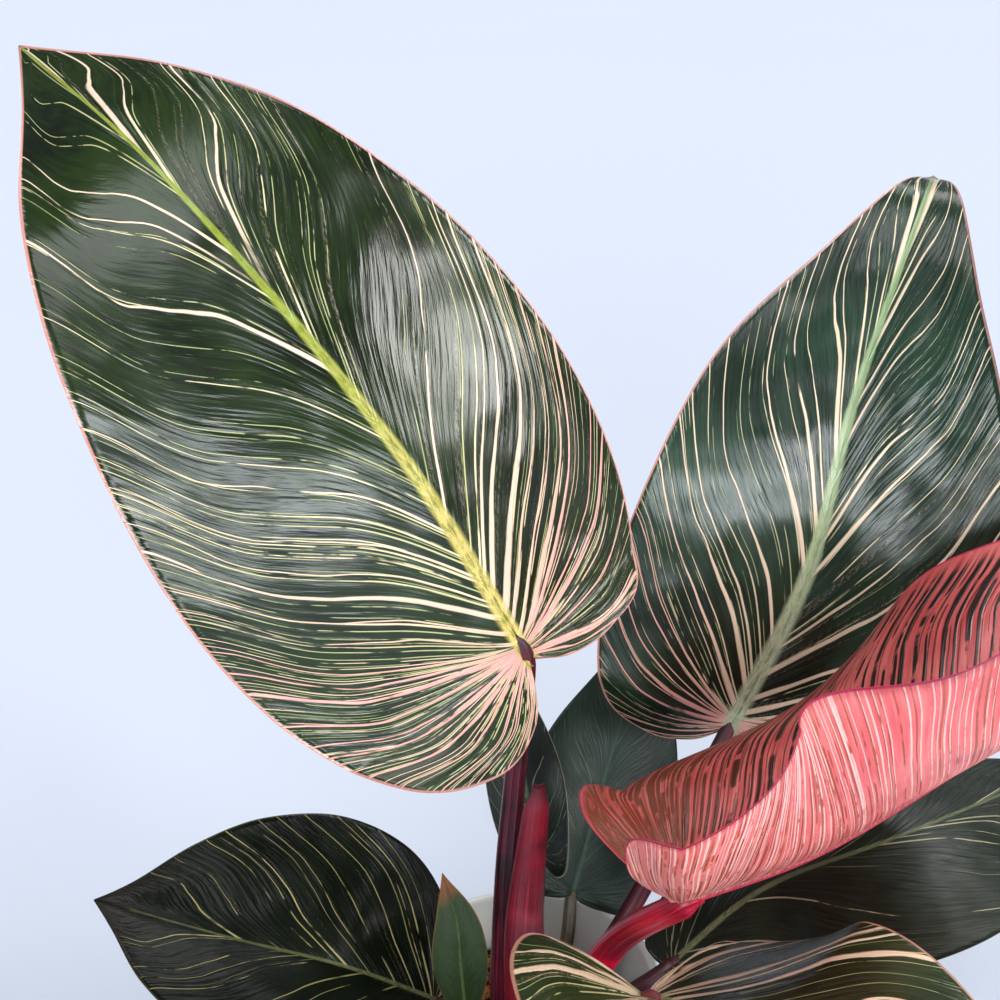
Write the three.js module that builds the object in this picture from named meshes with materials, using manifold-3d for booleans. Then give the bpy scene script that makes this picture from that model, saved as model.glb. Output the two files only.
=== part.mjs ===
// Potted pink birkin philodendron: a heart-leaved aroid with cream and pink pinstripes in a small white pot.
// Millimetres, +Z up, the pot stands on z = 0 and the origin is the centre of its underside.
// -Y is the front, the side from which the big striped leaves show their upper faces.

import * as THREE from 'three';
import { mergeVertices } from 'three/addons/utils/BufferGeometryUtils.js';
import Module from 'manifold-3d';

const wasm = await Module();
wasm.setup();

// Driving dimensions of the pot and the soil
const potHeight = 85;
const potRimRadius = 45;
const potBaseRadius = 31;
const potWall = 3.4;
const potFloor = 5;
const potSides = 48;
const soilLevel = 68;
const seatGap = 0.3;
const carveGap = seatGap + 0.05;
const sliver = 0.02;

// Driving dimensions of the plant
const bladeThickness = 0.8;
const midribKeel = 1.1;
const bladeRows = 22;
const smallBladeRows = 13;
const smallBlade = 90;
const acrossSteps = [0, 0.05, 0.22, 0.42, 0.62, 0.82, 1];
const lastRow = 0.99;
const stalkSides = 9;
const stalkSteps = 11;
const stalkFlatness = 0.86;
const stalkTaper = 0.7;
const stalkStop = 1.5;
const crownRadius = 7;
const crownFoot = 46;
const crownTop = 90;

// Blade outlines, half a blade each, as fractions of blade length: along the midrib, then across
const heartOutline = [
  [-0.012, 0.006], [-0.070, 0.045], [-0.095, 0.115], [-0.045, 0.205], [0.110, 0.272],
  [0.340, 0.278], [0.580, 0.222], [0.780, 0.130], [0.920, 0.046], [1.0, 0.0],
];
const ovalOutline = [
  [-0.012, 0.006], [-0.020, 0.050], [0.020, 0.115], [0.110, 0.185], [0.270, 0.250],
  [0.450, 0.278], [0.640, 0.242], [0.800, 0.155], [0.920, 0.058], [1.0, 0.0],
];
const taperedOutline = [
  [-0.012, 0.006], [-0.070, 0.045], [-0.095, 0.115], [-0.045, 0.205], [0.110, 0.272],
  [0.340, 0.278], [0.560, 0.214], [0.740, 0.110], [0.880, 0.036], [1.0, 0.0],
];
const outlineWidest = 0.278;

// Side veins: the share of the margin whose veins start at the stalk, and how far a vein bows
const basalShare = 0.38;
const basalFoot = 0.02;
const footPower = 1.4;
const veinBow = 0.11;

// Leaves. midrib: points from stalk to tip. face: where the upper face looks at the base and
// at the tip, in degrees round from the front and up. Pairs are left and right half, seen from above
// with the tip ahead: half width in mm, length of the basal lobe, fold up from flat at base and tip
// and curl across in radians, and one slow wave of the margin as height in mm and phase in turns.
const leaves = [
  {
    name: 'striped_left',
    midrib: [[8, -20, 218], [-23, -16, 280], [-73, 7, 343], [-117, 52, 372]],
    face: [[25, 31], [23, 15]],
    halfWidth: [66, 58],
    lobe: [1.05, 0.45],
    fold: [[-0.34, -0.02], [0.01, 0.10]],
    curl: [-0.16, -1.44],
    lobeDip: -0.55,
    wave: [[2.6, -0.19], [-0.2, 0.48]],
    outline: heartOutline,
    stalk: [[-3, -2, 68], [-5, -4, 87], [-2, -9, 134], [2, -13, 171], [5, -17, 196]],
    stalkRadius: [5.0, 2.5],
    colours: ['#22301f', '#6b1230'],
  },
  {
    name: 'striped_right',
    midrib: [[74, 46, 146], [98, 49, 199], [114, 63, 252], [138, 86, 305], [152, 120, 307]],
    face: [[-3, 23], [-5, 65]],
    halfWidth: [57, 58],
    lobe: [0.74, 1.0],
    fold: [[0.13, 0.0], [0.17, 0.17]],
    curl: [-0.46, -0.36],
    lobeDip: 0.3,
    wave: [[-1.3, -0.09], [-0.1, -0.04]],
    outline: taperedOutline,
    stalk: [[2, 1, 70], [19, 6, 78], [36, 16, 96], [56, 32, 122]],
    stalkRadius: [4.0, 2.4],
    colours: ['#26342a', '#5a1228'],
  },
  {
    name: 'pink',
    midrib: [[45, -39, 149], [87, -31, 158], [140, -20, 184], [219, 9, 212]],
    face: [[187, 63], [185, 78]],
    halfWidth: [74, 70],
    lobe: [1.09, 0.85],
    fold: [[1.01, 1.73], [0.21, 0.35]],
    curl: [-4.38, 2.52],
    lobeDip: -0.67,
    wave: [[-6.6, 1.14], [-5.2, 1.69]],
    outline: heartOutline,
    stalk: [[4, -2, 76], [19, -10, 94], [29, -20, 118], [36, -28, 132]],
    stalkRadius: [5.6, 4.0],
    colours: ['#e0656b', '#b8002a'],
  },
  {
    name: 'low_left',
    midrib: [[-26, -4, 84], [-53, -12, 108], [-86, -12, 122], [-125, -8, 136]],
    face: [[-31, 70], [-30, 65]],
    halfWidth: [42, 44],
    lobe: [1, 1],
    fold: [[0.45, 0.35], [0.7, -0.2]],
    curl: [0, 0.1],
    lobeDip: 0.05,
    wave: [[-2.5, -0.5], [2.5, -0.33]],
    outline: ovalOutline,
    stalk: [[-3, -1, 66], [-12, -1, 71], [-20, -1, 77]],
    stalkRadius: [3.4, 2.2],
    colours: ['#2a3324', '#4a2a22'],
  },
  {
    name: 'small_green',
    midrib: [[-17, -18, 94], [-17, -20, 113], [-17, -21, 131], [-20, -20, 148]],
    face: [[0, 20], [0, 30]],
    halfWidth: [8.5, 8.5],
    lobe: [1, 1],
    fold: [[0.3, 0.2], [0.3, 0.2]],
    curl: [0.4, 0.4],
    lobeDip: 0,
    wave: [[0, 0], [0, 0]],
    outline: ovalOutline,
    stalk: [[-2, -3, 64], [-9, -10, 70], [-14, -15, 82]],
    stalkRadius: [2.4, 1.3],
    colours: ['#2f4d20', '#4a5a2a'],
  },
  {
    name: 'back',
    midrib: [[19, 28, 95], [30, 46, 120], [41, 63, 144], [50, 80, 167]],
    face: [[15, 30], [-5, 30]],
    halfWidth: [27, 27],
    lobe: [0.3, 0.3],
    fold: [[0.3, 0.05], [0.05, 0.14]],
    curl: [-0.23, -0.44],
    lobeDip: 0.5,
    wave: [[2, -0.36], [-0.5, -0.08]],
    outline: heartOutline,
    stalk: [[3, 4, 64], [10, 14, 70], [16, 22, 80]],
    stalkRadius: [3.2, 2.0],
    colours: ['#26402f', '#55402a'],
  },
  {
    name: 'low_right',
    midrib: [[45, -10, 98], [79, 10, 109], [122, 13, 124], [194, 48, 122]],
    face: [[0, 73], [22, 68]],
    halfWidth: [38, 44],
    lobe: [0, 0.8],
    fold: [[-0.5, -0.3], [0.25, 0.13]],
    curl: [-0.4, -0.26],
    lobeDip: 0,
    wave: [[0, 0], [1, 0.17]],
    outline: ovalOutline,
    stalk: [[4, -1, 64], [17, -5, 71], [31, -8, 84]],
    stalkRadius: [3.8, 2.3],
    colours: ['#2b3828', '#5a2028'],
  },
  {
    name: 'striped_front',
    midrib: [[36, -36, 113], [64, -71, 129], [102, -97, 115], [147, -115, 44]],
    face: [[31, 70], [37, 60]],
    halfWidth: [50, 50],
    lobe: [0.16, 1.5],
    fold: [[-0.09, 0.19], [0.45, 0.1]],
    curl: [-0.37, -0.37],
    lobeDip: -0.66,
    wave: [[-2.5, 0.01], [-3, -1.56]],
    outline: heartOutline,
    stalk: [[3, -4, 68], [12, -16, 76], [24, -27, 92]],
    stalkRadius: [4.0, 2.6],
    colours: ['#3a4630', '#7a1a34'],
  },
  {
    name: 'slim_back',
    midrib: [[9, 22, 117], [6, 28, 139], [3, 33, 163], [-3, 40, 188]],
    face: [[-21, 12], [0, 28]],
    halfWidth: [13, 13],
    lobe: [1, 1],
    fold: [[0.08, 0.09], [0.26, 0.1]],
    curl: [-0.45, -0.34],
    lobeDip: 0,
    wave: [[-0.2, -0.11], [2.1, -0.26]],
    outline: heartOutline,
    stalk: [[1, 4, 66], [4, 13, 80], [8, 19, 100]],
    stalkRadius: [2.2, 1.0],
    colours: ['#24382a', '#4a1420'],
  },
];

// The papery red sheath that wrapped the newest leaf: its route, its width and depth at foot and top,
// and how far round its hollow it reaches to each side, in radians
const sheathRoute = [[3, -13, 76], [2, -15, 100], [3, -17, 130], [9, -21, 178]];
const sheathWidth = [15, 6];
const sheathDepth = [12, 4.8];
const sheathWrap = [1.9, 1.42];
const sheathWall = 1;
const sheathSteps = 14;
const sheathTurns = 8;

// Bark chips in the soil's surface: how many, and the largest chip's length, width and thickness
const chipCount = 42;
const chipSize = [9, 5.5, 3.4];

// Repeatable random numbers
function randomFrom(seed) {
  let state = seed;
  return () => {
    state = (state * 1664525 + 1013904223) % 4294967296;
    return state / 4294967296;
  };
}

const vector = (point) => new THREE.Vector3(...point);
const mix = (from, to, share) => from + (to - from) * share;

function facing([around, up]) {
  const a = THREE.MathUtils.degToRad(around);
  const e = THREE.MathUtils.degToRad(up);
  return new THREE.Vector3(Math.cos(e) * Math.sin(a), -Math.cos(e) * Math.cos(a), Math.sin(e));
}

function geometryFrom(points, triangles) {
  const geometry = new THREE.BufferGeometry();
  const numbers = points.flatMap((point) => point.toArray());
  geometry.setAttribute('position', new THREE.Float32BufferAttribute(numbers, 3));
  geometry.setIndex(triangles.flat());
  return geometry;
}

// Turns a closed mesh's faces outward if they point in
function facesOut(points, triangles) {
  let volume = 0;
  const cross = new THREE.Vector3();
  for (const [a, b, c] of triangles) {
    volume += points[a].dot(cross.crossVectors(points[b], points[c]));
  }
  return volume > 0 ? triangles : triangles.map(([a, b, c]) => [a, c, b]);
}

// A closed sheet of even thickness: both faces carry the same triangles, offset from a middle surface.
// A grown sheet is thicker on both faces and reaches further at its edges by the same amount.
function thickSheet(points, triangles, thickness, extraBelow, grown = 0) {
  const normals = points.map(() => new THREE.Vector3());
  const outward = points.map(() => new THREE.Vector3());
  const corner = (a, b) => new THREE.Vector3().subVectors(points[b], points[a]);
  const edges = new Set(triangles.flatMap(([a, b, c]) => [`${a} ${b}`, `${b} ${c}`, `${c} ${a}`]));
  const rim = [];
  for (const [a, b, c] of triangles) {
    const normal = corner(a, b).cross(corner(a, c));
    [a, b, c].forEach((i) => normals[i].add(normal));
    for (const [from, to] of [[a, b], [b, c], [c, a]]) {
      if (edges.has(`${to} ${from}`)) continue;
      rim.push([from, to]);
      const away = corner(from, to).cross(normal).normalize();
      outward[from].add(away);
      outward[to].add(away);
    }
  }
  const place = (i, offset) => points[i].clone()
    .addScaledVector(normals[i].normalize(), offset)
    .addScaledVector(outward[i].normalize(), grown);
  const upper = points.map((_, i) => place(i, thickness / 2 + grown));
  const lower = points.map((_, i) => place(i, -thickness / 2 - grown - extraBelow[i]));
  const count = points.length;
  const all = [...triangles, ...triangles.map(([a, b, c]) => [a + count, c + count, b + count])];
  rim.forEach(([a, b]) => all.push([a, a + count, b], [b, a + count, b + count]));
  const corners = [...upper, ...lower];
  return geometryFrom(corners, facesOut(corners, all));
}

// The middle surface of one leaf blade
class Blade {
  constructor(leaf) {
    this.leaf = leaf;
    this.midrib = new THREE.CatmullRomCurve3(leaf.midrib.map(vector), false, 'catmullrom', 0.5);
    this.length = this.midrib.getLength();
    this.base = facing(leaf.face[0]);
    this.tip = facing(leaf.face[1]);
    this.margins = [0, 1].map((side) => {
      const widthScale = leaf.halfWidth[side] / outlineWidest / this.length;
      const points = leaf.outline.map(([along, across]) => {
        const lobed = along < 0 ? along * leaf.lobe[side] : along;
        return new THREE.Vector2(lobed, across * widthScale);
      });
      return new THREE.SplineCurve(points);
    });
  }

  // Origin and axes of the cross section at a share of the midrib; behind the stalk it runs on straight
  section(along) {
    const share = THREE.MathUtils.clamp(along, 0, 1);
    const origin = this.midrib.getPointAt(share);
    const tangent = this.midrib.getTangentAt(share);
    const normal = this.base.clone().lerp(this.tip, share);
    normal.addScaledVector(tangent, -normal.dot(tangent)).normalize();
    const right = new THREE.Vector3().crossVectors(tangent, normal);
    const behind = Math.min(along, 0) * this.length;
    origin.addScaledVector(tangent, behind * Math.cos(this.leaf.lobeDip));
    origin.addScaledVector(normal, behind * Math.sin(this.leaf.lobeDip));
    return { origin, tangent, normal, right };
  }

  // Flat place on a side vein: veins leave the midrib, bow, and end on the margin
  flat(around, across, side) {
    const edge = this.margins[side].getPointAt(around);
    const upper = Math.max(0, (around - basalShare) / (1 - basalShare));
    const foot = around < basalShare
      ? (basalFoot * around) / basalShare
      : basalFoot + (1 - basalFoot) * upper ** footPower;
    const chord = new THREE.Vector2(edge.x - foot, edge.y);
    const bow = veinBow * THREE.MathUtils.smoothstep(around, 0, 0.25);
    const middle = new THREE.Vector2((edge.x + foot) / 2 - bow * chord.y, edge.y / 2 + bow * chord.x);
    const back = 1 - across;
    return new THREE.Vector2(
      back * back * foot + 2 * across * back * middle.x + across * across * edge.x,
      2 * across * back * middle.y + across * across * edge.y,
    );
  }

  point(around, across, side) {
    const { fold, curl, wave } = this.leaf;
    const flat = this.flat(around, across, side);
    const { origin, normal, right } = this.section(flat.x);
    const share = THREE.MathUtils.clamp(flat.x, 0, 1);
    const lift = mix(fold[side][0], fold[side][1], share);
    const bend = (Math.abs(curl[side]) > 1e-3 ? curl[side] : 1e-3) / this.length;
    const reach = flat.y * this.length;
    const outward = (Math.sin(lift + bend * reach) - Math.sin(lift)) / bend;
    let upward = (Math.cos(lift) - Math.cos(lift + bend * reach)) / bend;
    const [height, phase] = wave[side];
    const swell = height * across ** 2 * Math.sqrt(Math.sin(Math.PI * around));
    upward += swell * Math.sin(2 * Math.PI * (2 * around + phase));
    origin.addScaledVector(right, side === 0 ? -outward : outward);
    return origin.addScaledVector(normal, upward);
  }

  // Rows run from the sinus to the tip, columns from the left margin over the midrib to the right
  solid(grown) {
    const rows = this.length < smallBlade ? smallBladeRows : bladeRows;
    const columns = [
      ...acrossSteps.slice(1).reverse().map((across) => [across, 0]),
      ...acrossSteps.map((across) => [across, 1]),
    ];
    const points = [];
    const keel = [];
    const triangles = [];
    for (let row = 0; row < rows; row += 1) {
      const around = (row / rows) * lastRow;
      for (const [across, side] of columns) {
        points.push(this.point(around, across, side));
        keel.push(across === 0 ? midribKeel * (1 - row / rows) : 0);
      }
    }
    points.push(this.point(0.999, 0, 0));
    keel.push(0);
    const tipPoint = points.length - 1;
    const width = columns.length;
    for (let row = 0; row < rows; row += 1) {
      for (let column = 0; column + 1 < width; column += 1) {
        const a = row * width + column;
        if (row === rows - 1) {
          triangles.push([a, a + 1, tipPoint]);
          continue;
        }
        const c = a + width;
        if (column < width / 2 - 1) triangles.push([a, a + 1, c], [a + 1, c + 1, c]);
        else triangles.push([a, a + 1, c + 1], [a, c + 1, c]);
      }
    }
    return thickSheet(points, triangles, bladeThickness, keel, grown);
  }
}

// A tapering stalk of oval section along a smooth route, closed at both ends
function stalkSolid(route, radii, extra = 0) {
  const curve = new THREE.CatmullRomCurve3(route, false, 'catmullrom', 0.5);
  const frames = curve.computeFrenetFrames(stalkSteps, false);
  const points = [];
  const triangles = [];
  for (let step = 0; step <= stalkSteps; step += 1) {
    const share = step / stalkSteps;
    const centre = curve.getPointAt(share);
    const radius = mix(radii[0], radii[1], share ** stalkTaper) + extra;
    for (let side = 0; side < stalkSides; side += 1) {
      const angle = (2 * Math.PI * side) / stalkSides;
      points.push(centre.clone()
        .addScaledVector(frames.normals[step], radius * Math.cos(angle))
        .addScaledVector(frames.binormals[step], radius * stalkFlatness * Math.sin(angle)));
    }
  }
  for (let step = 0; step < stalkSteps; step += 1) {
    for (let side = 0; side < stalkSides; side += 1) {
      const a = step * stalkSides + side;
      const b = step * stalkSides + (side + 1) % stalkSides;
      triangles.push([a, b, a + stalkSides], [b, b + stalkSides, a + stalkSides]);
    }
  }
  const last = stalkSteps * stalkSides;
  for (let side = 1; side + 1 < stalkSides; side += 1) {
    triangles.push([0, side + 1, side], [last, last + side, last + side + 1]);
  }
  return geometryFrom(points, facesOut(points, triangles));
}

function toManifold(geometry) {
  const bare = geometry.clone();
  bare.deleteAttribute('normal');
  bare.deleteAttribute('uv');
  const merged = mergeVertices(bare, 1e-4);
  return new wasm.Manifold(new wasm.Mesh({
    numProp: 3,
    vertProperties: new Float32Array(merged.attributes.position.array),
    triVerts: new Uint32Array(merged.index.array),
  }));
}

// Keeps the largest body that a cut leaves, without the slivers
function toGeometry(solid) {
  const bodies = solid.simplify(sliver).decompose();
  bodies.sort((a, b) => b.volume() - a.volume());
  const mesh = bodies[0].getMesh();
  const geometry = new THREE.BufferGeometry();
  geometry.setAttribute('position', new THREE.BufferAttribute(new Float32Array(mesh.vertProperties), 3));
  geometry.setIndex(new THREE.BufferAttribute(new Uint32Array(mesh.triVerts), 1));
  return geometry;
}

const philodendron = new THREE.Group();

function addPiece(name, geometry, colour, roughness) {
  const material = new THREE.MeshStandardMaterial({ color: colour, roughness, metalness: 0 });
  const mesh = new THREE.Mesh(geometry, material);
  mesh.name = name;
  philodendron.add(mesh);
}

// Pot: a plain tapered cylinder with a rolled lip
function innerRadius(height) {
  const share = height / potHeight;
  return mix(potBaseRadius, potRimRadius, share) - potWall;
}

function potSolid() {
  const lip = potWall / 2;
  const profile = [[0, 0], [potBaseRadius - 2, 0], [potBaseRadius, 2]];
  profile.push([potRimRadius - 0.4, potHeight - lip * 2]);
  for (let step = 0; step <= 4; step += 1) {
    const angle = (Math.PI * step) / 4;
    profile.push([potRimRadius - lip + lip * Math.cos(angle), potHeight - lip + lip * Math.sin(angle)]);
  }
  profile.push([innerRadius(potFloor), potFloor + 1.5], [innerRadius(potFloor) - 2, potFloor], [0, potFloor]);
  const lathe = new THREE.LatheGeometry(profile.map(([x, y]) => new THREE.Vector2(x, y)), potSides);
  return lathe.rotateX(Math.PI / 2);
}

// One bark chip: a wedge of random size and tilt, half sunk at its spot in the surface
function chipSolid(random, spot) {
  const scale = mix(0.6, 1.15, random());
  const chip = new THREE.BoxGeometry(chipSize[0] * scale, chipSize[1] * scale, chipSize[2] * scale);
  const corners = chip.attributes.position;
  for (let i = 0; i < corners.count; i += 1) {
    if (corners.getX(i) > 0) corners.setY(i, corners.getY(i) * 0.6);
  }
  chip.rotateX(mix(-0.5, 0.5, random()));
  chip.rotateY(mix(-0.45, 0.45, random()));
  chip.rotateZ(random() * Math.PI * 2);
  return chip.translate(spot[0], spot[1], soilLevel + mix(-0.6, 0.9, random()));
}

// Soil: fills the pot, with a low uneven surface of bark chips sunk into it
function soilSolid() {
  const top = soilLevel;
  const foot = potFloor + seatGap;
  const profile = [
    [0, foot], [innerRadius(potFloor) - 2.6, foot], [innerRadius(potFloor) - seatGap - 0.3, foot + 2.2],
    [innerRadius(top) - seatGap - 0.6, top - 1], [innerRadius(top) - 3, top], [0, top],
  ];
  const lathe = new THREE.LatheGeometry(profile.map(([x, y]) => new THREE.Vector2(x, y)), potSides / 2);
  let solid = toManifold(lathe.rotateX(Math.PI / 2));
  const random = randomFrom(7);
  const reach = innerRadius(top) - 7;
  const turn = Math.PI * (3 - Math.sqrt(5));
  for (let i = 0; i < chipCount; i += 1) {
    const radius = reach * Math.sqrt((i + 4) / (chipCount + 4));
    const spot = [radius * Math.cos(i * turn), radius * Math.sin(i * turn)];
    solid = solid.add(toManifold(chipSolid(random, spot)));
  }
  return solid;
}

// Crown: the short stem that all stalks spring from
function crownSolid(extra) {
  const r = crownRadius + extra;
  const profile = [
    [0, crownFoot - extra], [r * 0.7, crownFoot - extra], [r, crownFoot + 8],
    [r, soilLevel + 8], [r * 0.8, crownTop - 6], [r * 0.45, crownTop + extra], [0, crownTop + extra],
  ];
  return new THREE.LatheGeometry(profile.map(([x, y]) => new THREE.Vector2(x, y)), 20).rotateX(Math.PI / 2);
}

// Sheath: a tapering channel round the front of the stalks, open behind and cut off at the top
function sheathSolid(grown) {
  const curve = new THREE.CatmullRomCurve3(sheathRoute.map(vector), false, 'catmullrom', 0.5);
  const points = [];
  const triangles = [];
  for (let step = 0; step <= sheathSteps; step += 1) {
    const share = step / sheathSteps;
    const centre = curve.getPointAt(share);
    const wrap = mix(sheathWrap[0], sheathWrap[1], share);
    for (let turn = 0; turn <= sheathTurns; turn += 1) {
      const angle = mix(-wrap, wrap, turn / sheathTurns);
      const across = mix(sheathWidth[0], sheathWidth[1], share) / 2 * Math.sin(angle);
      const depth = mix(sheathDepth[0], sheathDepth[1], share) / 2 * Math.cos(angle);
      points.push(centre.clone().add(new THREE.Vector3(across, -depth, 0)));
    }
  }
  for (let step = 0; step < sheathSteps; step += 1) {
    for (let turn = 0; turn < sheathTurns; turn += 1) {
      const a = step * (sheathTurns + 1) + turn;
      const c = a + sheathTurns + 1;
      triangles.push([a, a + 1, c], [a + 1, c + 1, c]);
    }
  }
  return thickSheet(points, triangles, sheathWall, points.map(() => 0), grown);
}

addPiece('pot', potSolid(), '#f2f2f0', 0.25);
addPiece('crown', crownSolid(0), '#6a5a34', 0.7);

const crownRoom = toManifold(crownSolid(carveGap));
addPiece('sheath', toGeometry(toManifold(sheathSolid(0)).subtract(crownRoom)), '#a01436', 0.45);

// Each stalk is cut clear of the crown, the sheath, the stalks before it and its own blade
let soil = soilSolid().subtract(crownRoom);
let taken = crownRoom.add(toManifold(sheathSolid(carveGap)));
for (const leaf of leaves) {
  const blade = new Blade(leaf);
  const [bladeColour, stalkColour] = leaf.colours;
  addPiece(`blade_${leaf.name}`, blade.solid(0), bladeColour, 0.35);
  const route = leaf.stalk.map(vector);
  const { origin } = blade.section(0);
  const arrival = origin.clone().sub(route[route.length - 1]).normalize();
  route.push(origin.addScaledVector(arrival, -stalkStop));
  const bladeRoom = toManifold(blade.solid(carveGap));
  const solid = toManifold(stalkSolid(route, leaf.stalkRadius)).subtract(taken).subtract(bladeRoom);
  addPiece(`stalk_${leaf.name}`, toGeometry(solid), stalkColour, 0.4);
  const room = toManifold(stalkSolid(route, leaf.stalkRadius, carveGap));
  taken = taken.add(room);
  soil = soil.subtract(room);
}

addPiece('soil', toGeometry(soil), '#6b4a33', 0.95);

export default philodendron;
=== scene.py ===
# Potted pink birkin philodendron: the dressed model, its floor, its lights and its camera.
# Blender works in metres; the plant's own numbers here are millimetres, in the frame of the CAD source.
import math

import bpy
import numpy as np
from mathutils import Matrix, Vector


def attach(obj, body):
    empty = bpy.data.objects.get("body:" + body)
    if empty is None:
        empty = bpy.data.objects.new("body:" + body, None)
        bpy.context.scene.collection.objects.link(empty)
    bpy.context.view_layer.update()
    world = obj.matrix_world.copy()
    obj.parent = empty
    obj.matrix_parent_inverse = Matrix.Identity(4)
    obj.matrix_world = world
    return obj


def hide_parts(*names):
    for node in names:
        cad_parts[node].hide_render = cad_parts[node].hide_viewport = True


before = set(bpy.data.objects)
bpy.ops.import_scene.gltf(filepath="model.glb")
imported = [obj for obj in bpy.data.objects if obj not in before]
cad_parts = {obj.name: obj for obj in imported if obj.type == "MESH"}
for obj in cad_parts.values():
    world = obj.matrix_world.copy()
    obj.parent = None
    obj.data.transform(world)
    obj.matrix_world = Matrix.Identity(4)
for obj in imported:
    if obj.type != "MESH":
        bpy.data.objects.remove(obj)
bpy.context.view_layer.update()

MM = 0.001

# Pot, soil and crown
POT_HEIGHT = 85
POT_RIM_RADIUS = 45
POT_BASE_RADIUS = 31
POT_WALL = 3.4
POT_FLOOR = 5
POT_SIDES = 160
SOIL_LEVEL = 68
CROWN_RADIUS = 7
CROWN_TOP = 90

# Blade grid: rows from sinus to tip, columns from midrib to margin; a short blade has fewer
BLADE_ROWS = 170
BLADE_COLUMNS = 30
SMALL_ROWS = 90
SMALL_COLUMNS = 16
SMALL_BLADE = 90
LAST_ROW = 0.997
TIP_PLACE = 0.9995
COLUMN_CROWDING = 1.35

# Blade thickness, falling off within reach of the margin
BLADE_HALF_THICKNESS = 0.3
RIM_HALF_THICKNESS = 0.12
RIM_REACH = 2.5

# Keel under the midrib and groove above it, each at tip and base
KEEL_WIDTH = (0.9, 2.2)
KEEL_DEPTH = (0.15, 1.7)
KEEL_TAPER = 1.3
KEEL_END = 0.9
GROOVE_DEPTH = (0.05, 0.35)

# Curves: points on a finished curve, and steps between two of the points it is drawn through
CURVE_POINTS = 400
SPLINE_STEPS = 60

# Blade outlines, half a blade each, as fractions of blade length: along the midrib, then across
HEART = [
    (-0.012, 0.006), (-0.070, 0.045), (-0.095, 0.115), (-0.045, 0.205), (0.110, 0.272),
    (0.340, 0.278), (0.580, 0.222), (0.780, 0.130), (0.920, 0.046), (1.0, 0.0),
]
OVAL = [
    (-0.012, 0.006), (-0.020, 0.050), (0.020, 0.115), (0.110, 0.185), (0.270, 0.250),
    (0.450, 0.278), (0.640, 0.242), (0.800, 0.155), (0.920, 0.058), (1.0, 0.0),
]
TAPERED = HEART[:6] + [(0.560, 0.214), (0.740, 0.110), (0.880, 0.036), (1.0, 0.0)]
OUTLINE_WIDEST = 0.278

# Side veins: the share of the margin whose veins start at the stalk, and how far a vein bows
BASAL_SHARE = 0.38
BASAL_FOOT = 0.02
FOOT_POWER = 1.4
VEIN_BOW = 0.11
BOW_RANGE = (0, 0.25)

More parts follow.
